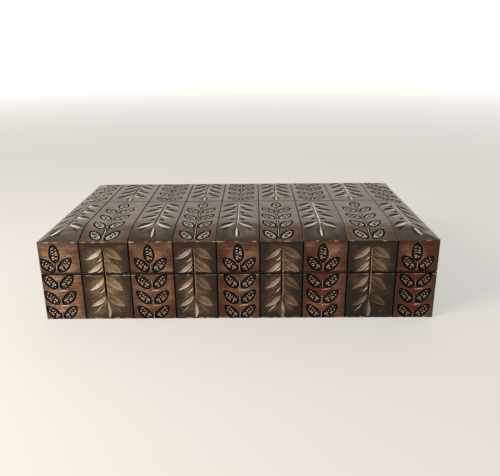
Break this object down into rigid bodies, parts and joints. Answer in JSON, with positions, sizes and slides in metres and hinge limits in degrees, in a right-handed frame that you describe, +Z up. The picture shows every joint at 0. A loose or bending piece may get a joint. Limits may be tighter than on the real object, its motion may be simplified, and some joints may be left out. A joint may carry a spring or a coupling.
{
  "type": "carved keepsake box",
  "caption": "Low rectangular wooden keepsake box with a hinged, bevel-edged lid, scored all over into fields of carved and stamped leaf sprigs, for papers and small treasures.",
  "frame": {"origin": "centre of the flat underside, on the surface that the box stands on", "axes": "+X along the front from left to right, +Y from the front to the hinged back, +Z up"},
  "size_m": [0.26, 0.1598, 0.0605],
  "materials": {
    "carved_wood": "stained and lacquered, satin",
    "plywood": "bare, fine sanded",
    "brass": "aged, dull",
    "steel": "bright drawn wire"
  },
  "bodies": {
    "base": {"base_front_wall": "carved_wood", "base_back_wall": "carved_wood", "base_left_wall": "carved_wood", "base_right_wall": "carved_wood", "bottom_panel": "plywood", "bottom_brads": "steel", "left_hinge_base_leaf": "brass", "left_hinge_pin": "steel", "left_hinge_base_screws": "brass", "right_hinge_base_leaf": "brass", "right_hinge_pin": "steel", "right_hinge_base_screws": "brass"},
    "lid": {"lid_front_rail": "carved_wood", "lid_back_rail": "carved_wood", "lid_left_rail": "carved_wood", "lid_right_rail": "carved_wood", "lid_panel": "carved_wood", "left_hinge_lid_leaf": "brass", "left_hinge_lid_screws": "brass", "right_hinge_lid_leaf": "brass", "right_hinge_lid_screws": "brass"}
  },
  "joints": [
    {"name": "lid_hinge", "type": "hinge", "parent": "base", "child": "lid", "pos_m": [0, 0.08, 0.0331], "axis": [-1, 0, 0], "range_deg": [0, 180]}
  ]
}
